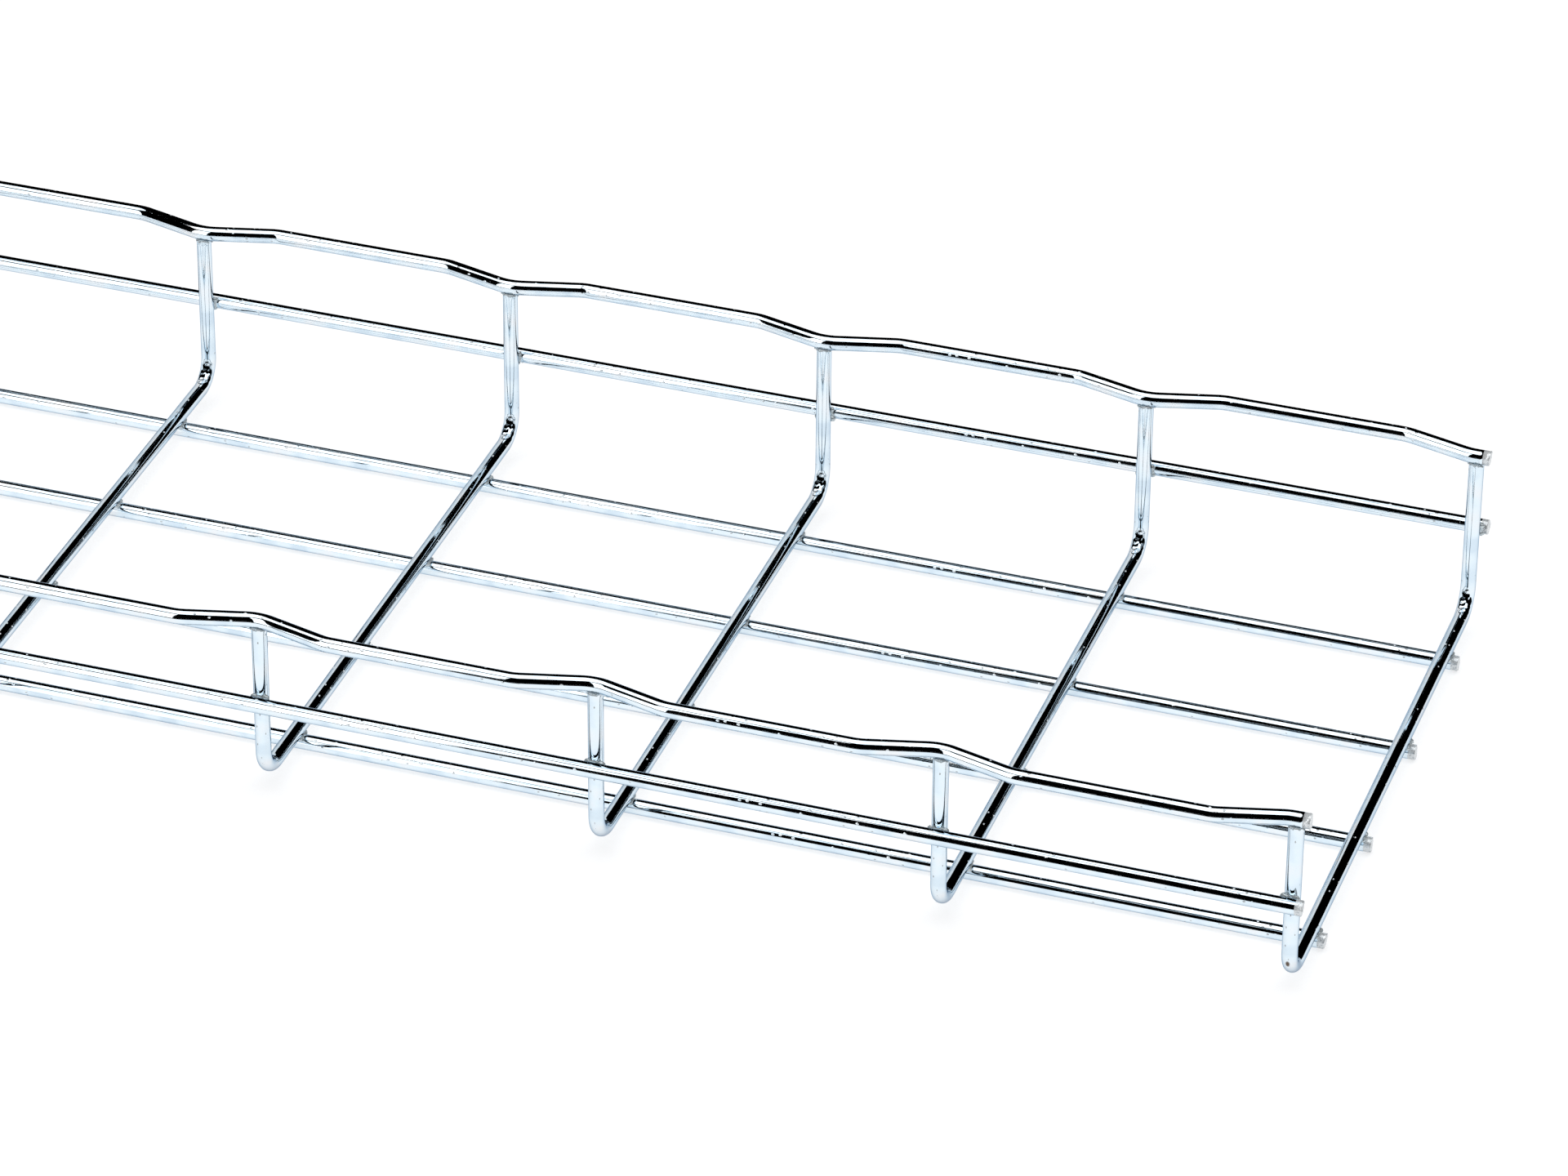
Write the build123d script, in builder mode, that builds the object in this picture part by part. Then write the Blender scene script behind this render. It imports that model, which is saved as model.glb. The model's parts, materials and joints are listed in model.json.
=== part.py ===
"""A cut length of welded wire cable tray.

U-shaped cross wires carry eight lengthwise wires: four under the floor, one outside each side wall,
and one kinked wire along the top of each wall. X runs along the tray, Y across it and Z up. The
origin is at the middle of the rectangle that the tray stands on.
"""
from build123d import *
from math import atan2, tan
import os

# Overall sizes, in millimetres
bay_length = 100  # from one cross wire to the next
bay_count = 6
tray_width = 200  # between the centre lines of the two walls
tray_height = 60  # from the surface that the floor wires rest on to the top of the edge wires

# Wire
wire_diameter = 4.5
bend_radius = 8  # centre line of a cross wire, where its floor turns up into a wall
end_stub = 4  # what the lengthwise wires stick out past the last cross wires
floor_wire_spacing = 50
floor_wire_count = 4

# Edge wires: over each upright the wire is kinked in towards the tray
edge_kink_depth = 5.4
edge_kink_ramp = 20  # length of the slope on each side of an upright, corner to corner
edge_kink_radius = 14  # centre line of the bend at each corner
edge_kink_flat = 0.3  # straight stretch over an upright, between the bends on each side

# Resistance welds
weld_sink = 0.4  # how far two crossing wires are pressed into each other
weld_bead_overhang = 0.65  # how far the metal squeezed out of a weld reaches past a wire's side

# Sizes that follow
wire_radius = wire_diameter / 2
crossing_distance = wire_diameter - weld_sink  # between the centre lines of two crossing wires
wall_y = tray_width / 2
side_wire_y = wall_y + crossing_distance
cross_wire_z = wire_radius + crossing_distance
edge_wire_z = tray_height - wire_radius
side_wire_z = (cross_wire_z + edge_wire_z) / 2
upright_top_z = edge_wire_z - wire_radius + weld_sink
cross_wire_places = [bay_length * (number - bay_count / 2) for number in range(bay_count + 1)]
floor_wire_places = [
    floor_wire_spacing * (number - (floor_wire_count - 1) / 2) for number in range(floor_wire_count)
]
tray_end_x = cross_wire_places[-1] + end_stub
weld_bead_radius = wire_radius + weld_bead_overhang
edge_kink_slope = atan2(edge_kink_depth, edge_kink_ramp)
inner_corner = edge_kink_flat / 2 + edge_kink_radius * tan(edge_kink_slope / 2)
outer_corner = inner_corner + edge_kink_ramp  # both are distances from an upright, along the tray


def edge_wire_route(side):
    """Corners of an edge wire on the front (-1) or back (1) wall, from one end to the other."""
    inner_y = side * wall_y
    outer_y = side * (wall_y + edge_kink_depth)
    corners = [(-tray_end_x, inner_y)]
    for place in cross_wire_places:
        if place > cross_wire_places[0]:
            corners.append((place - outer_corner, outer_y))
            corners.append((place - inner_corner, inner_y))
        if place < cross_wire_places[-1]:
            corners.append((place + inner_corner, inner_y))
            corners.append((place + outer_corner, outer_y))
    corners.append((tray_end_x, inner_y))
    return corners


def make_edge_wire(name, side):
    """The kinked wire along the top of a wall."""
    with BuildPart() as edge_wire:
        with BuildLine(Plane.XY.offset(edge_wire_z)) as route:
            FilletPolyline(*edge_wire_route(side), radius=edge_kink_radius)
        with BuildSketch(Plane(origin=route.line @ 0, z_dir=route.line % 0)):
            Circle(wire_radius)
        sweep(path=route.line)
    edge_wire.part.label = name
    return edge_wire.part


def make_cross_wire(name, place, edge_wires):
    """A U-shaped wire across the tray, its two ends hollowed to fit under the edge wires."""
    with BuildPart() as cross_wire:
        with BuildLine(Plane.YZ.offset(place)) as route:
            FilletPolyline(
                (-wall_y, upright_top_z),
                (-wall_y, cross_wire_z),
                (wall_y, cross_wire_z),
                (wall_y, upright_top_z),
                radius=bend_radius,
            )
        with BuildSketch(Plane(origin=route.line @ 0, z_dir=route.line % 0)):
            Circle(wire_radius)
        sweep(path=route.line)
        add(edge_wires, mode=Mode.SUBTRACT)
    cross_wire.part.label = name
    return cross_wire.part


def make_straight_wire(name, y, z):
    """A straight lengthwise wire, before it is welded on."""
    with BuildPart() as straight_wire:
        with BuildSketch(Plane.YZ.offset(-tray_end_x)):
            with Locations((y, z)):
                Circle(wire_radius)
        extrude(amount=2 * tray_end_x)
    straight_wire.part.label = name
    return straight_wire.part


def press_in(straight_wire, cross_wires):
    """The same wire, dented where each cross wire is welded into it."""
    with BuildPart() as pressed_wire:
        add(straight_wire)
        add(cross_wires, mode=Mode.SUBTRACT)
    pressed_wire.part.label = straight_wire.label
    return pressed_wire.part


def make_welds(name, place, touching_wires):
    """The weld beads along one cross wire: under the floor, outside the walls and at the wall tops."""
    floor_contact_z = cross_wire_z - crossing_distance / 2
    side_contact_y = wall_y + crossing_distance / 2
    contacts = [(place, y, floor_contact_z) for y in floor_wire_places]
    for side in (-1, 1):
        contacts.append((place, side * side_contact_y, side_wire_z))
        contacts.append((place, side * wall_y, edge_wire_z - wire_radius))
    with BuildPart() as welds:
        with Locations(*contacts):
            Sphere(weld_bead_radius, rotation=(0, 0, 45))
        add(touching_wires, mode=Mode.SUBTRACT)
    welds.part.label = name
    return welds.part


edge_wires = [make_edge_wire("front_edge_wire", -1), make_edge_wire("back_edge_wire", 1)]

cross_wires = [
    make_cross_wire(f"cross_wire_{number}", place, edge_wires)
    for number, place in enumerate(cross_wire_places, start=1)
]

straight_wires = [
    make_straight_wire("front_side_wire", -side_wire_y, side_wire_z),
    make_straight_wire("back_side_wire", side_wire_y, side_wire_z),
]
for number, y in enumerate(floor_wire_places, start=1):
    straight_wires.append(make_straight_wire(f"floor_wire_{number}", y, wire_radius))

weld_rows = [
    make_welds(f"welds_{number}", place, [cross_wire, *edge_wires, *straight_wires])
    for number, (place, cross_wire) in enumerate(zip(cross_wire_places, cross_wires), start=1)
]

pressed_wires = [press_in(straight_wire, cross_wires) for straight_wire in straight_wires]

os.makedirs("parts", exist_ok=True)
for piece in edge_wires + cross_wires + pressed_wires + weld_rows:
    export_step(piece, f"parts/{piece.label}.step")
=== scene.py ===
import json
import math
import random

import bmesh
import bpy
from mathutils import Matrix, Vector, noise

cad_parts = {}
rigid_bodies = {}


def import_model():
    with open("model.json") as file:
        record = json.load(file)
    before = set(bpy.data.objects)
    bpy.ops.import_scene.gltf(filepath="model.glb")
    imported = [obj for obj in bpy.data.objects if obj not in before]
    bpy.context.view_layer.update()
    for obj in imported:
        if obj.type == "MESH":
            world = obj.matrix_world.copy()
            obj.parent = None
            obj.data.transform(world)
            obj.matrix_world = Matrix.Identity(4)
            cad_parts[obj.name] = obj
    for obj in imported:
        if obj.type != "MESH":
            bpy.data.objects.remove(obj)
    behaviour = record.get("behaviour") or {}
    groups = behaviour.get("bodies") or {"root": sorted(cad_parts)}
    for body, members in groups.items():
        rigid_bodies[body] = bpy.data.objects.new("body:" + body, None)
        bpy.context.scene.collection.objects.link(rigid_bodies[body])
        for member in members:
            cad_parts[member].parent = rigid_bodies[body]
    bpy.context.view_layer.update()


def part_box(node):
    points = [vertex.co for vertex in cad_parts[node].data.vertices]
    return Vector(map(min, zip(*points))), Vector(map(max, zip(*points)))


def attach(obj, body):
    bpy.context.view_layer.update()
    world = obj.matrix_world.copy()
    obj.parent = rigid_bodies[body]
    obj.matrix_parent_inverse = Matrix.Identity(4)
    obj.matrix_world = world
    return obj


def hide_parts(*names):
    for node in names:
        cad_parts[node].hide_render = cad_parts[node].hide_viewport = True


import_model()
mm = 0.001

print("stage 1: sizes from the frame")

floorWires = ["floor_wire_1", "floor_wire_2", "floor_wire_3", "floor_wire_4"]
sideWires = ["front_side_wire", "back_side_wire"]
edgeWires = ["front_edge_wire", "back_edge_wire"]
crossWires = [f"cross_wire_{number}" for number in range(1, 8)]
weldRows = [f"welds_{number}" for number in range(1, 8)]

# every wire and row of welds draws its own chances, from these seeds on
firstSeed = {"floorWires": 11, "sideWires": 21, "edgeWires": 31, "crossWires": 41, "welds": 101}


def middle(node):
    low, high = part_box(node)
    return (low + high) / 2


straightLow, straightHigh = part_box(floorWires[0])
wireRadius = (straightHigh.z - straightLow.z) / 2
wireEnds = (straightLow.x, straightHigh.x)
crossPlaces = [middle(node).x for node in crossWires]
crossLow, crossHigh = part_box(crossWires[0])
wallY = crossHigh.y - wireRadius  # centre line of the uprights
crossZ = crossLow.z + wireRadius  # centre line of the cross wires' floor run
uprightTop = crossHigh.z
sideZ = middle(sideWires[0]).z
edgeZ = middle(edgeWires[0]).z
floorY = [middle(node).y for node in floorWires]


def hexColour(code):
    # sRGB hex to the linear values that shaders want
    channels = [int(code[place:place + 2], 16) / 255 for place in (1, 3, 5)]
    linear = [c / 12.92 if c <= 0.04045 else ((c + 0.055) / 1.055) ** 2.4 for c in channels]
    return (*linear, 1.0)


def addNode(tree, kind, values=None, links=None, **settings):
    node = tree.nodes.new("ShaderNode" + kind)
    for name, value in settings.items():
        setattr(node, name, value)
    for socket, value in (values or {}).items():
        node.inputs[socket].default_value = value
    for socket, source in (links or {}).items():
        tree.links.new(source, node.inputs[socket])
    return node


def newMaterial(name):
    material = bpy.data.materials.new(name)
    material.use_nodes = True
    material.node_tree.nodes.clear()
    return material, material.node_tree


def setStops(ramp, *stops):
    # the ramp's colours, each at the noise level where it stands
    elements = ramp.color_ramp.elements
    for number, (level, colour) in enumerate(stops):
        element = elements[number] if number < 2 else elements.new(level)
        element.position = level
        element.color = hexColour(colour)


def addObject(name, data):
    made = bpy.data.objects.new(name, data)
    bpy.context.scene.collection.objects.link(made)
    return made


print("stage 2: materials")

# Steel wire, cold drawn and then electroplated with bright zinc under a blue passivation.
# The plate is a near mirror with a cool tint, and the die leaves fine marks along the wire
# that break up the edges of every reflection.
zinc = {
    "plate": "#E2EFF7",  # blue passivation
    "plateBlue": "#D2E2EE",  # where the passivation lies thicker
    "plateWarm": "#EDEFF1",  # where it lies thinner
    "tintLevels": (0.32, 0.5, 0.72),  # blue, plain and warm, as levels of the tint's noise
    "cloudSize": 9.0,  # mm, slow changes of tint
    "grazing": "#A6B5C4",  # the passivation film darkens the plate where it is seen edge on
    "roughness": 0.035,
    "roughnessWorn": 0.08,
    "wornLevels": (0.4, 0.75),
    "markWidth": 0.30,  # mm across the wire: the die's own are finer, and wouldn't show
    "markLength": 6.0,  # mm along the wire
    "markDepth": 0.0016,  # mm
    "speckSpacing": 1.1,  # mm, wider than on the real plate, so that the specks show
    "speckStretch": 0.55,  # along the wire they are fewer
    "speckLevels": (0.30, 0.04),  # rim and middle of a speck, as shares of the spacing
    "speckDepth": 0.07,  # mm
    "speckShare": 0.42,  # how many of the speck places hold one, in the grittier stretches
    "grittyLength": 26.0,  # mm, from one gritty stretch to the next
    "grittyLevels": (0.38, 0.66),  # from a clean stretch to a gritty one
    "speckPlate": "#E6EAEC",  # zinc nodules, duller than the plate round them
    "speckRoughness": 0.5,
    "noduleLevels": (0.25, 0.7),
    "rust": "#85705E",
    "rustLevels": (0.25, 0.6),
    "dullMetallic": 0.15,  # of nodules and rust
}


def zincPlatedWire():
    material, tree = newMaterial("brightZincPlatedDrawnSteel")
    place = addNode(tree, "Attribute", attribute_name="wireSpace")  # mm: along, and two across
    markPitch = 1 / zinc["markWidth"]
    marksSpace = addNode(tree, "Mapping", {"Scale": (1 / zinc["markLength"], markPitch, markPitch)},
                         {"Vector": place.outputs["Vector"]})
    marks = addNode(tree, "TexNoise", {"Scale": 1.0, "Detail": 3.0, "Roughness": 0.6},
                    {"Vector": marksSpace.outputs["Vector"]})
    # a few grains of grit under the plate, each in a cell of its own
    speckPitch = 1 / zinc["speckSpacing"]
    alongPitch = zinc["speckStretch"] / zinc["speckSpacing"]
    speckSpace = addNode(tree, "Mapping", {"Scale": (alongPitch, speckPitch, speckPitch)},
                         {"Vector": place.outputs["Vector"]})
    cells = addNode(tree, "TexVoronoi", {"Scale": 1.0}, {"Vector": speckSpace.outputs["Vector"]})
    rim, top = zinc["speckLevels"]
    dots = addNode(tree, "MapRange", {"From Min": rim, "From Max": top},
                   {"Value": cells.outputs["Distance"]}, interpolation_type="SMOOTHSTEP")
    chance = addNode(tree, "SeparateColor", links={"Color": cells.outputs["Color"]})
    stretches = addNode(tree, "TexNoise", {"Scale": 1 / zinc["grittyLength"], "Detail": 1.0},
                        {"Vector": place.outputs["Vector"]})
    low, high = zinc["grittyLevels"]
    limit = addNode(tree, "MapRange",
                    {"From Min": low, "From Max": high, "To Max": zinc["speckShare"]},
                    {"Value": stretches.outputs["Fac"]})
    chosen = addNode(tree, "Math", links={0: chance.outputs["Red"], 1: limit.outputs["Result"]},
                     operation="LESS_THAN")
    specks = addNode(tree, "Math", links={0: dots.outputs["Result"], 1: chosen.outputs["Value"]},
                     operation="MULTIPLY")
    low, high = zinc["noduleLevels"]
    nodules = addNode(tree, "MapRange", {"From Min": low, "From Max": high},
                      {"Value": specks.outputs["Value"]})
    clouds = addNode(tree, "TexNoise", {"Scale": 1 / zinc["cloudSize"], "Detail": 2.0},
                     {"Vector": place.outputs["Vector"]})
    tint = addNode(tree, "ValToRGB", links={"Fac": clouds.outputs["Fac"]})
    setStops(tint, *zip(zinc["tintLevels"], (zinc["plateBlue"], zinc["plate"], zinc["plateWarm"])))
    low, high = zinc["wornLevels"]
    gloss = addNode(tree, "MapRange",
                    {"From Min": low, "From Max": high,
                     "To Min": zinc["roughness"], "To Max": zinc["roughnessWorn"]},
                    {"Value": clouds.outputs["Fac"]})
    drawMarks = addNode(tree, "Bump", {"Strength": 1.0, "Distance": zinc["markDepth"] * mm},
                        {"Height": marks.outputs["Fac"]})
    gritty = addNode(tree, "Bump", {"Strength": 1.0, "Distance": zinc["speckDepth"] * mm},
                     {"Height": specks.outputs["Value"], "Normal": drawMarks.outputs["Normal"]})
    plateColour = addNode(tree, "Mix", {7: hexColour(zinc["speckPlate"])},
                          {0: nodules.outputs["Result"], 6: tint.outputs["Color"]},
                          data_type="RGBA")
    # one spot of rust, painted on its wire as the attribute rust
    rustAt = addNode(tree, "Attribute", attribute_name="rust")
    low, high = zinc["rustLevels"]
    rusty = addNode(tree, "MapRange", {"From Min": low, "From Max": high},
                    {"Value": rustAt.outputs["Fac"]})
    colour = addNode(tree, "Mix", {7: hexColour(zinc["rust"])},
                     {0: rusty.outputs["Result"], 6: plateColour.outputs[2]}, data_type="RGBA")
    dull = addNode(tree, "Math", links={0: nodules.outputs["Result"], 1: rusty.outputs["Result"]},
                   operation="MAXIMUM")
    metallic = addNode(tree, "MapRange", {"To Min": 1.0, "To Max": zinc["dullMetallic"]},
                       {"Value": dull.outputs["Value"]})
    roughness = addNode(tree, "Mix", {3: zinc["speckRoughness"]},
                        {0: dull.outputs["Value"], 2: gloss.outputs["Result"]})
    surface = addNode(tree, "BsdfPrincipled", {"Specular Tint": hexColour(zinc["grazing"])},
                      {"Base Color": colour.outputs[2], "Roughness": roughness.outputs[0],
                       "Metallic": metallic.outputs["Result"], "Normal": gritty.outputs["Normal"]})
    addNode(tree, "OutputMaterial", links={"Surface": surface.outputs["BSDF"]})
    return material


# Resistance weld metal squeezed from between two wires, zinc plated with them.
# It froze in lumps, so it glints in many small points with dark pits between.
weldMetal = {
    "plate": "#DCE6EA",
    "scorched": "#A9B1B6",
    "scorchLevels": (0.30, 0.42),
    "roughness": 0.36,
    "metallic": 0.55,  # the plate takes dull on weld metal
    "lumpSize": 0.7,  # mm
    "lumpDepth": 0.035,  # mm
    "grainSize": 0.22,  # mm
    "grainDepth": 0.012,  # mm
}


def zincPlatedWeld():
    material, tree = newMaterial("brightZincPlatedWeldMetal")
    place = addNode(tree, "TexCoord")
    lumps = addNode(tree, "TexVoronoi", {"Scale": 1 / (weldMetal["lumpSize"] * mm)},
                    {"Vector": place.outputs["Object"]}, feature="SMOOTH_F1")
    grain = addNode(tree, "TexNoise", {"Scale": 1 / (weldMetal["grainSize"] * mm), "Detail": 2.0},
                    {"Vector": place.outputs["Object"]})
    tint = addNode(tree, "ValToRGB", links={"Fac": grain.outputs["Fac"]})
    setStops(tint, *zip(weldMetal["scorchLevels"], (weldMetal["scorched"], weldMetal["plate"])))
    lumpy = addNode(tree, "Bump", {"Strength": 1.0, "Distance": weldMetal["lumpDepth"] * mm},
                    {"Height": lumps.outputs["Distance"]}, invert=True)
    grainy = addNode(tree, "Bump", {"Strength": 1.0, "Distance": weldMetal["grainDepth"] * mm},
                     {"Height": grain.outputs["Fac"], "Normal": lumpy.outputs["Normal"]})
    surface = addNode(tree, "BsdfPrincipled",
                      {"Metallic": weldMetal["metallic"], "Roughness": weldMetal["roughness"]},
                      {"Base Color": tint.outputs["Color"], "Normal": grainy.outputs["Normal"]})
    addNode(tree, "OutputMaterial", links={"Surface": surface.outputs["BSDF"]})
    return material


# The sheared end of a wire, plated after it was cut: half burnished by the blade, half torn,
# so it looks brighter and flatter than the wire's side.
shearedEnd = {
    "plate": "#F1F5F7",
    "torn": "#BCC4CA",
    "tornLevels": (0.36, 0.48),
    "roughness": 0.22,
    "metallic": 0.4,
    "tearSize": 0.55,  # mm
    "tearDepth": 0.06,  # mm
}


def zincPlatedShear():
    material, tree = newMaterial("brightZincPlatedShearedSteel")
    place = addNode(tree, "TexCoord")
    tears = addNode(tree, "TexNoise", {"Scale": 1 / (shearedEnd["tearSize"] * mm), "Detail": 4.0,
                                       "Roughness": 0.6}, {"Vector": place.outputs["Object"]})
    tint = addNode(tree, "ValToRGB", links={"Fac": tears.outputs["Fac"]})
    setStops(tint, *zip(shearedEnd["tornLevels"], (shearedEnd["torn"], shearedEnd["plate"])))
    torn = addNode(tree, "Bump", {"Strength": 1.0, "Distance": shearedEnd["tearDepth"] * mm},
                   {"Height": tears.outputs["Fac"]})
    surface = addNode(tree, "BsdfPrincipled",
                      {"Metallic": shearedEnd["metallic"], "Roughness": shearedEnd["roughness"]},
                      {"Base Color": tint.outputs["Color"], "Normal": torn.outputs["Normal"]})
    addNode(tree, "OutputMaterial", links={"Surface": surface.outputs["BSDF"]})
    return material


wireMaterial = zincPlatedWire()
weldMaterial = zincPlatedWeld()
endMaterial = zincPlatedShear()

print("stage 3: wires")

wireMesh = {
    "sides": 40,
    "ringSpacing": 2.0 * mm,  # on straight runs
    "arcStep": math.radians(3),  # one ring for each such turn in a bend
    "arcLeast": 4,  # and at least so many rings
    "waver": 0.012 * mm,  # how far the drawn section is from round
    "waverLength": 7.0 * mm,
    "wander": 0.10 * mm,  # how far the straight runs are from straight
    "wanderLength": 90 * mm,
    "wanderFade": 30 * mm,  # the ends stay where they belong
    "crushedRings": 2,  # the shear marked the last 2 mm of the long wires too
}


def roundedPath(corners, radius):
    # points along straight runs joined by arcs, with the bend's share at each point
    points = [(corners[0], None, 0.0)]
    for before, corner, after in zip(corners, corners[1:], corners[2:]):
        inward = (before - corner).normalized()
        outward = (after - corner).normalized()
        turn = math.pi - inward.angle(outward)
        reach = radius * math.tan(turn / 2)
        toCentre = (inward + outward).normalized()
        centre = corner + toCentre * (radius / math.cos(turn / 2))
        steps = max(wireMesh["arcLeast"], math.ceil(turn / wireMesh["arcStep"]))
        start = corner + inward * reach - centre
        axis = start.cross(-inward).normalized()
        for step in range(steps + 1):
            share = step / steps
            spoke = Matrix.Rotation(turn * share, 3, axis) @ start
            points.append((centre + spoke, -spoke.normalized(), share))
    points.append((corners[-1], None, 0.0))
    filled = [points[0]]
    for point in points[1:]:
        previous = filled[-1][0]
        gap = point[0] - previous
        pieces = math.ceil(gap.length / wireMesh["ringSpacing"])
        for piece in range(1, pieces):
            filled.append((previous + gap * (piece / pieces), None, 0.0))
        filled.append(point)
    return filled


# A cropped end: the blade drags one side of the rim round and leaves a burr on the other.
cropped = {
    "rimSteps": 5,
    "rimRadius": 0.22 * mm,
    "faceRings": 5,
    "hub": 0.6,  # what is left in the middle of the face, in rings
    "lean": 0.22 * mm,  # the cut isn't quite square
    "burr": 0.26 * mm,
    "burrOut": 1.1,  # shares of the burr that stand out along the wire and to the side
    "burrAside": 0.9,
    "roughness": 0.09 * mm,
    "roughOut": 0.7,
    "roughPitch": 2.6,  # bumps across the face
}


def cutProfile():
    # the rim's rings from the wall to the face, then the face's rings to the middle
    profile = []
    for step in range(1, cropped["rimSteps"] + 1):
        turn = math.pi / 2 * step / cropped["rimSteps"]
        profile.append((wireRadius - cropped["rimRadius"] * (1 - math.cos(turn)), math.sin(turn)))
    for step in range(1, cropped["faceRings"] + 1):
        inwards = 1 - step / (cropped["faceRings"] + cropped["hub"])
        profile.append(((wireRadius - cropped["rimRadius"]) * inwards, 1.0))
    return profile


def wirePiece(name, node, corners, radius, burrTowards, seed, shape=None):
    # one wire as a swept tube with cropped ends; shape adds to the radius in its bends
    random.seed(seed)
    path = roundedPath(corners, radius)
    cuts = [Vector([random.uniform(-1, 1) for _ in range(3)]).normalized() for _ in range(2)]
    seedShift = Vector((seed * 1.7, seed * 3.1, seed * 0.9))  # its own part of the noise
    sides = wireMesh["sides"]
    vertices = []
    space = []
    rings = []
    walked = 0.0
    across = None
    for index, (point, inside, share) in enumerate(path):
        ahead = path[min(index + 1, len(path) - 1)][0]
        behind = path[max(index - 1, 0)][0]
        tangent = (ahead - behind).normalized()
        if across is None:
            across = tangent.orthogonal().normalized()
        across = (across - tangent * across.dot(tangent)).normalized()
        walked += (point - behind).length if index else 0.0
        rings.append((point, tangent, across.copy(), tangent.cross(across), walked, inside, share))
    total = walked

    def addRing(point, across, up, along, size, inside, share, push=None):
        for side in range(sides):
            angle = 2 * math.pi * side / sides
            direction = across * math.cos(angle) + up * math.sin(angle)
            section = Vector((along / wireMesh["waverLength"], math.cos(angle), math.sin(angle)))
            grow = noise.noise(section + seedShift) * wireMesh["waver"]
            if shape:
                grow += shape(along, direction, inside, share)
            spot = point + direction * (size + grow)
            if push:
                spot += push(direction)
            vertices.append(spot)
            space.append((along / mm, wireRadius / mm * math.cos(angle),
                          wireRadius / mm * math.sin(angle)))

    def wanderAt(along):
        fade = min(1.0, along / wireMesh["wanderFade"], (total - along) / wireMesh["wanderFade"])
        drift = Vector((along / wireMesh["wanderLength"], seed * 2.3, 0.5))
        sideways = Vector((0, noise.noise(drift), noise.noise(drift + Vector((0, 7, 3)))))
        return fade * wireMesh["wander"] * sideways

    def cutRings(ring, outward, cut):
        point, tangent, across, up, along, inside, share = ring
        for size, depth in cutProfile():

            def push(direction, size=size, depth=depth):
                outwards = size / wireRadius  # 1 at the rim
                lean = cropped["lean"] * direction.dot(cut) * outwards
                burr = cropped["burr"] * max(0.0, direction.dot(burrTowards)) ** 3 * outwards ** 6
                bumps = noise.noise((direction * outwards + cut) * cropped["roughPitch"])
                rough = bumps * cropped["roughness"]
                lip = lean + burr * cropped["burrOut"] + rough * cropped["roughOut"]
                aside = direction * burr * cropped["burrAside"] * depth
                return outward * lip * depth + aside + outward * (depth - 1) * cropped["rimRadius"]

            addRing(point, across, up, along, size, inside, share, push)

    ended = len(cutProfile())
    first = rings[0]
    last = rings[-1]
    cutRings(first, -first[1], cuts[0])
    for ring in rings:
        point, tangent, across, up, along, inside, share = ring
        if ring is first:
            point = point + tangent * cropped["rimRadius"]
        if ring is last:
            point = point - tangent * cropped["rimRadius"]
        addRing(point + wanderAt(along), across, up, along, wireRadius, inside, share)
    cutRings(last, last[1], cuts[1])
    order = [*reversed(range(ended)), *range(ended, len(rings) + 2 * ended)]  # from face to face
    crushed = 0 if shape else wireMesh["crushedRings"]
    faces = []
    slots = []
    for place, (one, two) in enumerate(zip(order, order[1:])):
        endFace = place < ended - 1 + crushed or place >= len(order) - ended - crushed
        for side in range(sides):
            following = (side + 1) % sides
            faces.append((one * sides + side, one * sides + following,
                          two * sides + following, two * sides + side))
            slots.append(1 if endFace else 0)
    faces.append(tuple(order[0] * sides + side for side in range(sides))[::-1])
    faces.append(tuple(order[-1] * sides + side for side in range(sides)))
    slots += [1, 1]
    mesh = bpy.data.meshes.new(name)
    mesh.from_pydata(vertices, [], faces)
    mesh.materials.append(wireMaterial)
    mesh.materials.append(endMaterial)
    mesh.polygons.foreach_set("material_index", slots)
    mesh.polygons.foreach_set("use_smooth", [True] * len(faces))
    attribute = mesh.attributes.new("wireSpace", "FLOAT_VECTOR", "POINT")
    attribute.data.foreach_set("vector", [value for entry in space for value in entry])
    mesh.validate()
    mesh.update()
    piece = addObject(name, mesh)
    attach(piece, "root")
    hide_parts(node)


def straightWire(node, burrTowards, seed):
    corners = [Vector((end, middle(node).y, middle(node).z)) for end in wireEnds]
    wirePiece(f"plated_{node}", node, corners, 0.0, burrTowards, seed)  # no bends


for number, node in enumerate(floorWires):
    straightWire(node, Vector((0, 0, 1)), firstSeed["floorWires"] + number)
for number, node in enumerate(sideWires):
    outside = math.copysign(1, middle(node).y)
    straightWire(node, Vector((0, outside, 0)), firstSeed["sideWires"] + number)

# The two top wires step outwards between the uprights, pressed in a tool at each one.
edgeKink = {
    "ramp": 20.0 * mm,
    "radius": 14.0 * mm,
    "flat": 0.3 * mm,
}


def edgeWire(node, seed):
    low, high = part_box(node)
    outside = math.copysign(1, middle(node).y)
    near = (high.y if outside < 0 else low.y) + outside * wireRadius
    far = (low.y if outside < 0 else high.y) - outside * wireRadius
    slope = math.atan2(abs(far - near), edgeKink["ramp"])
    inner = edgeKink["flat"] / 2 + edgeKink["radius"] * math.tan(slope / 2)
    outer = inner + edgeKink["ramp"]
    corners = []
    for place in crossPlaces:
        for offset, y in ((-outer, far), (-inner, near), (inner, near), (outer, far)):
            corners.append(Vector((place + offset, y, edgeZ)))
    corners = [corner for corner in corners if low.x + mm < corner.x < high.x - mm]
    corners = [Vector((low.x, near, edgeZ)), *corners, Vector((high.x, near, edgeZ))]
    wirePiece(f"plated_{node}", node, corners, edgeKink["radius"], Vector((0, 0, 1)), seed)


for number, node in enumerate(edgeWires):
    edgeWire(node, firstSeed["edgeWires"] + number)

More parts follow.
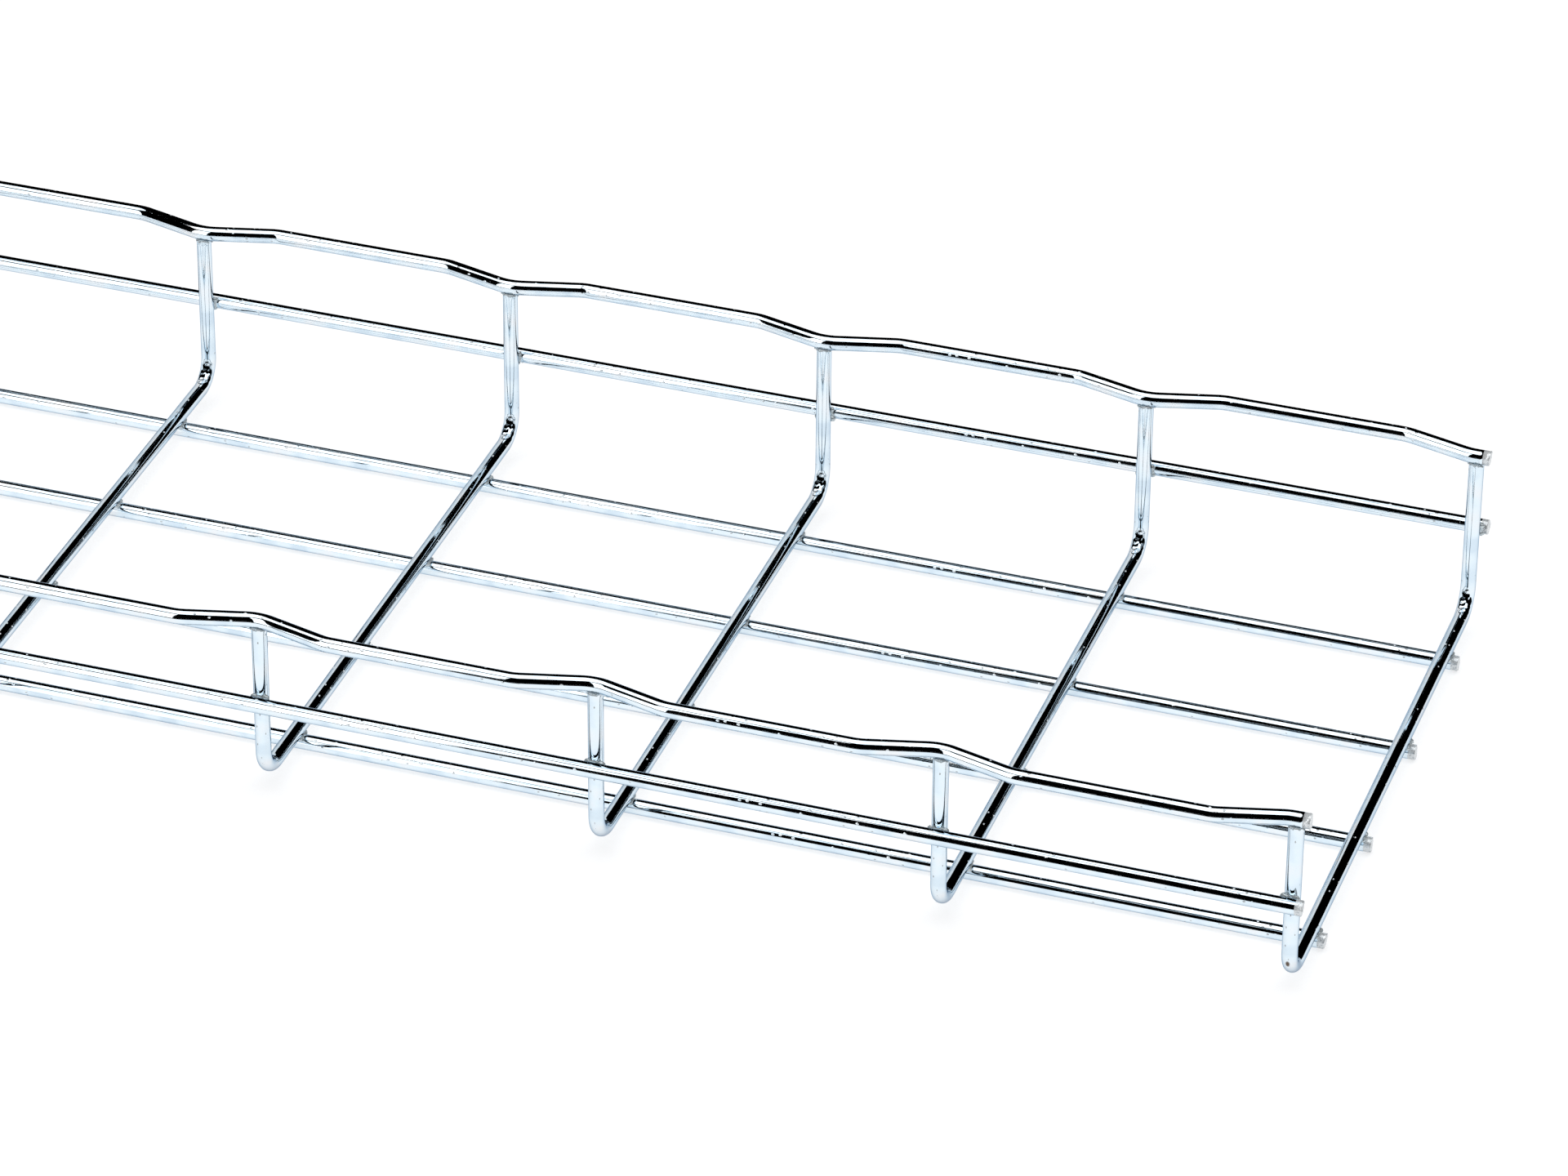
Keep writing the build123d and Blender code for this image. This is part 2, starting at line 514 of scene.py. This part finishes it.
# A cross wire is bent up at both sides round a small pin, which marks the inside of the bend.
crossBend = {
    "radius": 8.0 * mm,
    "pinMark": 0.10 * mm,  # how deep the pin's edges press
    "pinEdge": 0.1,  # how wide, as a share of the bend
    "wrinkle": 0.05 * mm,
    "wrinkles": 6,  # ups and downs round the bend
    "dent": 0.44 * mm,  # how unevenly the pin pressed
    "dentLength": 1.6 * mm,
    "dentWidth": 0.8 * mm,
    "flattening": 0.10 * mm,
}


def bendShape(along, direction, inside, share):
    if inside is None:
        return 0.0
    facing = max(0.0, direction.dot(inside))
    mid = math.sin(math.pi * share)
    wave = math.sin(math.pi * crossBend["wrinkles"] * share)
    ripple = wave * crossBend["wrinkle"] * facing ** 4 * mid
    outer = max(0.0, -direction.dot(inside)) ** 2 * crossBend["flattening"] * mid
    pressed = [math.exp(-(away / crossBend["pinEdge"]) ** 2) for away in (share, 1 - share)]
    edges = crossBend["pinMark"] * facing ** 6 * sum(pressed)
    aside = direction.x * wireRadius / crossBend["dentWidth"]
    spot = Vector((along / crossBend["dentLength"], aside, 0.4))
    dents = noise.noise(spot) * crossBend["dent"] * facing ** 2 * mid
    return ripple + dents - outer - edges


def crossWire(node, place, seed):
    corners = [Vector((place, y, z)) for y, z in ((-wallY, uprightTop), (-wallY, crossZ),
                                                  (wallY, crossZ), (wallY, uprightTop))]
    wirePiece(f"plated_{node}", node, corners, crossBend["radius"], Vector((0, 0, 0)), seed,
              bendShape)


for number, node in enumerate(crossWires):
    crossWire(node, crossPlaces[number], firstSeed["crossWires"] + number)

# A spot where the plate broke on the outside of one bend and the steel has rusted.
rustSpot = {
    "wire": "plated_cross_wire_7",
    "turn": math.radians(17),  # how far round the bend
    "size": 0.95 * mm,
    "stretch": 2.2,  # longer along the wire than across it
}


def paintRust():
    reach = crossBend["radius"] + wireRadius
    centre = Vector((crossPlaces[-1],
                     crossBend["radius"] - wallY - reach * math.cos(rustSpot["turn"]),
                     crossBend["radius"] + crossZ - reach * math.sin(rustSpot["turn"])))
    mesh = bpy.data.objects[rustSpot["wire"]].data
    rust = mesh.attributes.new("rust", "FLOAT", "POINT")
    for vertex, mark in zip(mesh.vertices, rust.data):
        offset = vertex.co - centre
        offset.z /= rustSpot["stretch"]
        mark.value = max(0.0, 1 - offset.length / rustSpot["size"])


paintRust()

print("stage 4: welds")

# At each crossing the wires were pressed together hot. The metal that came out froze as lumps
# in the four corners, with small beads of spatter on its rim.
weld = {
    "voxel": 0.16 * mm,
    "softening": 0.5,
    "softeningRounds": 3,
    "sink": 0.2 * mm,  # half of how far the wires went into each other
    "swell": 0.22,  # how uneven each lump is, and in how many places
    "swellPitch": 1.6,
    "core": 2.3 * mm,  # half the width of the fused middle
    "thickness": 0.62 * mm,
    "sideStretch": 1.25,  # the side wires' welds ran out along them
}

# the four corner lobes: pairs are the least and the most that one draws
weldLobe = {
    "size": 0.95 * mm,
    "sizes": (0.75, 1.2),
    "out": 2.2 * mm,
    "outs": (0.85, 1.05),
    "turns": (-12, 12),  # degrees
    "rises": (-0.3, 0.3),  # mm
    "flatness": 0.85,
}

weldSpatter = {
    "beads": 5,
    "size": 0.22 * mm,
    "sizes": (0.6, 1.2),
    "outs": (1.25, 1.6),  # times the lobes' own
    "inwards": 0.9,
    "rises": (-0.7, 0.7),  # mm
}

# the upright's end pressed into the top wire's underside, ringed with small beads
topWeld = {
    "lift": 0.1 * mm,
    "widening": 1.04,
    "beads": 11,
    "strays": (-0.3, 0.3),  # places along the ring
    "outs": (0.96, 1.12),  # times the wire's radius
    "alongOut": 1.1,
    "sizes": (0.9, 1.9),  # times the spatter's own
    "flatness": 0.9,
    "low": 0.25,  # mm, and how much higher the beads at the sides sit
    "higher": 0.45,
    "drop": 0.5 * mm,
}

alongX = Vector((1, 0, 0))
alongY = Vector((0, 1, 0))
alongZ = Vector((0, 0, 1))


def lump(bm, centre, sizes, axes, seed):
    made = bmesh.ops.create_icosphere(bm, subdivisions=3, radius=1.0)
    shift = Vector((seed, seed * 0.3, 1.0))  # its own part of the noise
    for vertex in made["verts"]:
        spot = vertex.co.copy()
        swell = 1 + weld["swell"] * noise.noise(spot * weld["swellPitch"] + shift)
        moved = Vector((0, 0, 0))
        for value, size, axis in zip(spot, sizes, axes):
            moved += axis * value * size * swell
        vertex.co = centre + moved


def addCrossingWeld(bm, contact, axes, seed, stretch=1.0):
    # the fused middle, four corner lobes of different size and the spatter round them
    along, second, normal = axes
    lump(bm, contact, (weld["core"] * stretch, weld["core"], weld["thickness"]), axes, seed)
    for corner in range(4):
        angle = math.radians(45 + 90 * corner + random.uniform(*weldLobe["turns"]))
        out = weldLobe["out"] * random.uniform(*weldLobe["outs"])
        size = weldLobe["size"] * random.uniform(*weldLobe["sizes"])
        offset = along * math.cos(angle) * out * stretch + second * math.sin(angle) * out
        lump(bm, contact + offset + normal * random.uniform(*weldLobe["rises"]) * mm,
             (size * stretch, size, size * weldLobe["flatness"]), axes, seed + corner)
    for _ in range(weldSpatter["beads"]):
        angle = random.uniform(0, 2 * math.pi)
        out = weldLobe["out"] * random.uniform(*weldSpatter["outs"])
        size = weldSpatter["size"] * random.uniform(*weldSpatter["sizes"])
        offset = along * math.cos(angle) * out * stretch + second * math.sin(angle) * out
        rise = normal * random.uniform(*weldSpatter["rises"]) * mm
        lump(bm, contact + offset * weldSpatter["inwards"] + rise, (size, size, size), axes,
             seed + 9)


def addTopWeld(bm, contact, seed):
    axes = (alongX, alongY, alongZ)
    lump(bm, contact + Vector((0, 0, topWeld["lift"])),
         (weld["core"] * topWeld["widening"], weld["core"], weld["thickness"]), axes, seed)
    for bead in range(topWeld["beads"]):
        angle = 2 * math.pi * (bead + random.uniform(*topWeld["strays"])) / topWeld["beads"]
        out = wireRadius * random.uniform(*topWeld["outs"])
        size = weldSpatter["size"] * random.uniform(*topWeld["sizes"])
        rise = (topWeld["low"] + topWeld["higher"] * abs(math.sin(angle))) * mm
        offset = Vector((math.cos(angle) * out * topWeld["alongOut"], math.sin(angle) * out,
                         rise - topWeld["drop"]))
        lump(bm, contact + offset, (size, size, size * topWeld["flatness"]), axes, seed + bead)


def weldPiece(row, node, place):
    random.seed(firstSeed["welds"] + row)
    bm = bmesh.new()
    seed = (row + 1) * 10
    for number, across in enumerate(floorY):
        contact = Vector((place, across, crossZ - wireRadius + weld["sink"]))
        addCrossingWeld(bm, contact, (alongX, alongY, alongZ), seed + number)
    for number, side in enumerate((-1, 1)):
        contact = Vector((place, side * (wallY + wireRadius - weld["sink"]), sideZ))
        addCrossingWeld(bm, contact, (alongX, alongZ, alongY), seed + 5 + number,
                        weld["sideStretch"])
        addTopWeld(bm, Vector((place, side * wallY, edgeZ - wireRadius)), seed + 7 + number)
    mesh = bpy.data.meshes.new("weldDraft")
    bm.to_mesh(mesh)
    bm.free()
    piece = addObject(f"plated_{node}", mesh)
    skin = piece.modifiers.new("skin", "REMESH")
    skin.mode = "VOXEL"
    skin.voxel_size = weld["voxel"]
    skin.use_smooth_shade = True
    soften = piece.modifiers.new("soften", "SMOOTH")
    soften.factor = weld["softening"]
    soften.iterations = weld["softeningRounds"]
    graph = bpy.context.evaluated_depsgraph_get()
    finished = bpy.data.meshes.new_from_object(piece.evaluated_get(graph))
    finished.name = f"plated_{node}"
    piece.modifiers.clear()
    piece.data = finished
    finished.materials.clear()
    finished.materials.append(weldMaterial)
    finished.polygons.foreach_set("use_smooth", [True] * len(finished.polygons))
    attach(piece, "root")
    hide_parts(node)
    print("  ", node, len(finished.polygons), "faces")


for number, node in enumerate(weldRows):
    weldPiece(number, node, crossPlaces[number])

print("stage 5: floor, light and camera")

studio = {
    "floorSize": 14.0,
    "floorDrop": 0.3 * mm,
    "floorColour": "#BABBBD",
    "floorGlow": 0.66,  # what the floor adds of its own, so that it stays white
    "farGlow": 0.82,  # and where the overhead softbox no longer reaches it
    "glowStart": 0.7,
    "glowEnd": 2.6,
    "worldFill": 0.38,
    "domeRadius": 3.2,
    "domeFloorGap": 0.02,  # the dark cards start this far above the floor
    "domeSides": 96,
    "domeRows": 24,
    "tableHalf": 0.95,  # beyond this the table's edge and the dark room show in the metal
    "tableFront": 0.36,
    "tableBack": 0.24,
    "surroundLift": 1.0 * mm,
}


def seenDirectly(tree):
    # 1 where the camera, a reflection or glass looks at it, 0 for the light that it sheds
    path = addNode(tree, "LightPath")
    seen = addNode(tree, "Math",
                   links={0: path.outputs["Is Camera Ray"], 1: path.outputs["Is Glossy Ray"]},
                   operation="ADD")
    seenToo = addNode(tree, "Math",
                      links={0: seen.outputs["Value"], 1: path.outputs["Is Transmission Ray"]},
                      operation="ADD", use_clamp=True)
    return seenToo.outputs["Value"]


def floorPaper():
    # white paper: matte, with a little glow so that only the shadows fall below white
    material, tree = newMaterial("whiteBackgroundPaper")
    place = addNode(tree, "TexCoord")
    distance = addNode(tree, "VectorMath", links={0: place.outputs["Object"]}, operation="LENGTH")
    evenGlow = addNode(tree, "MapRange",
                       {"From Min": studio["glowStart"], "From Max": studio["glowEnd"],
                        "To Min": studio["floorGlow"], "To Max": studio["farGlow"]},
                       {"Value": distance.outputs["Value"]}, interpolation_type="SMOOTHSTEP")
    strength = addNode(tree, "Math", links={0: seenDirectly(tree), 1: evenGlow.outputs["Result"]},
                       operation="MULTIPLY")
    matte = addNode(tree, "BsdfDiffuse", {"Color": hexColour(studio["floorColour"])})
    glow = addNode(tree, "Emission", links={"Strength": strength.outputs["Value"]})
    both = addNode(tree, "AddShader", links={0: matte.outputs["BSDF"], 1: glow.outputs["Emission"]})
    addNode(tree, "OutputMaterial", links={"Surface": both.outputs["Shader"]})
    return material


def darkCard():
    # black felt: it gives bright metal something dark to mirror
    material, tree = newMaterial("blackFeltCard")
    black = addNode(tree, "Emission", {"Color": hexColour("#000000"), "Strength": 0.0})
    addNode(tree, "OutputMaterial", links={"Surface": black.outputs["Emission"]})
    return material


def setPiece(name, vertices, faces, material):
    mesh = bpy.data.meshes.new(name)
    mesh.from_pydata(vertices, [], faces)
    mesh.materials.append(material)
    return addObject(name, mesh)


def oblong(left, right, front, back, level):
    return [(left, front, level), (right, front, level), (right, back, level), (left, back, level)]


def glossOnly(card):
    # seen by bright metal alone: it neither shades the floor nor hides the view
    card.visible_camera = False
    card.visible_diffuse = False
    card.visible_transmission = False
    card.visible_volume_scatter = False
    card.visible_shadow = False


def layFloor():
    half = studio["floorSize"] / 2
    corners = oblong(-half, half, -half, half, -studio["floorDrop"])
    sheet = setPiece("floor", corners, [(0, 1, 2, 3)], floorPaper())


def cardDome():
    radius = studio["domeRadius"]
    around = studio["domeSides"]
    rows = studio["domeRows"]
    lowest = math.asin(studio["domeFloorGap"] / radius)
    vertices = []
    for row in range(rows):
        elevation = lowest + (math.pi / 2 - lowest) * row / rows
        for step in range(around):
            azimuth = 2 * math.pi * step / around
            vertices.append((radius * math.cos(elevation) * math.cos(azimuth),
                             radius * math.cos(elevation) * math.sin(azimuth),
                             radius * math.sin(elevation)))
    faces = []
    for row in range(rows - 1):
        for step in range(around):
            following = (step + 1) % around
            faces.append((row * around + step, row * around + following,
                          (row + 1) * around + following, (row + 1) * around + step))
    faces.append(tuple((rows - 1) * around + step for step in range(around)))
    glossOnly(setPiece("cards", vertices, faces, darkCard()))


def tableSurround():
    # black card round the white table, which ends close to the tray
    outer = studio["domeRadius"]
    half = studio["tableHalf"]
    level = studio["surroundLift"]
    vertices = [*oblong(-outer, outer, -outer, outer, level),
                *oblong(-half, half, -studio["tableFront"], studio["tableBack"], level)]
    faces = [(side, (side + 1) % 4, (side + 1) % 4 + 4, side + 4) for side in range(4)]
    glossOnly(setPiece("tableSurround", vertices, faces, darkCard()))


layFloor()
cardDome()
tableSurround()

# One softbox hangs over the tray. It is oval, so the white line it draws on the wires narrows
# towards their left. The two on the left each light some wires alone: one in front for the
# wires along the tray, one behind for the cross wires, which mirror it along their left edge.
softboxes = {
    "overheadSoftbox": {
        "place": (0.2, -0.05, 1.7),
        "aim": (0.2, -0.05, 0),
        "size": (2.9, 1.72),
        "shape": "ELLIPSE",
        "power": 20.5,
        "lights": None,  # all there is
    },
    "leftFrontSoftbox": {
        "place": (-0.82, -1.33, 1.0),
        "aim": (-0.82, 0, 1.0),
        "size": (0.96, 2.0),
        "shape": "RECTANGLE",
        "power": 10.5,
        "lights": edgeWires + sideWires + floorWires,
    },
    "leftBackSoftbox": {
        "place": (-1.46, 2.16, 1.03),
        "aim": (0, 0, 1.03),
        "size": (2.0, 2.0),
        "shape": "RECTANGLE",
        "power": 11.3,
        "lights": crossWires,
    },
}


def hangSoftbox(name, kit):
    lamp = bpy.data.lights.new(name, "AREA")
    lamp.shape = kit["shape"]
    lamp.size, lamp.size_y = kit["size"]
    lamp.energy = kit["power"]
    box = addObject(name, lamp)
    box.location = kit["place"]
    towards = Vector(kit["aim"]) - Vector(kit["place"])
    box.rotation_euler = towards.to_track_quat("-Z", "Y").to_euler()
    box.visible_camera = False
    if kit["lights"]:
        lit = bpy.data.collections.new(f"litBy{name}")
        for node in kit["lights"]:
            lit.objects.link(bpy.data.objects[f"plated_{node}"])
        box.light_linking.receiver_collection = lit


for name, kit in softboxes.items():
    hangSoftbox(name, kit)


def fillWorld():
    world = bpy.data.worlds.new("studioWorld")
    bpy.context.scene.world = world
    world.use_nodes = True
    tree = world.node_tree
    tree.nodes.clear()
    level = addNode(tree, "MapRange", {"To Min": studio["worldFill"], "To Max": 1.0},
                    {"Value": seenDirectly(tree)})
    sky = addNode(tree, "Background", {"Color": hexColour("#FFFFFF")},
                  {"Strength": level.outputs["Result"]})
    addNode(tree, "OutputWorld", links={"Surface": sky.outputs["Background"]})


fillWorld()

view = {
    "place": (0.667555, -1.643367, 1.117730),
    "right": (0.94740, 0.31996, 0.00762),
    "up": (-0.17579, 0.50033, 0.84780),
    "lens": 162.94,  # mm
    "sensor": 36.0,  # mm
    "clipEnd": 50.0,
}


def placeCamera():
    camera = addObject("camera", bpy.data.cameras.new("camera"))
    right = Vector(view["right"]).normalized()
    backward = right.cross(Vector(view["up"]).normalized())
    turned = Matrix((right, backward.cross(right), backward)).transposed().to_4x4()
    camera.matrix_world = Matrix.Translation(view["place"]) @ turned
    camera.data.lens = view["lens"]
    camera.data.sensor_width = view["sensor"]
    camera.data.clip_end = view["clipEnd"]
    bpy.context.scene.camera = camera


placeCamera()
bpy.context.scene.view_settings.view_transform = "Standard"

print("stage 6: done")
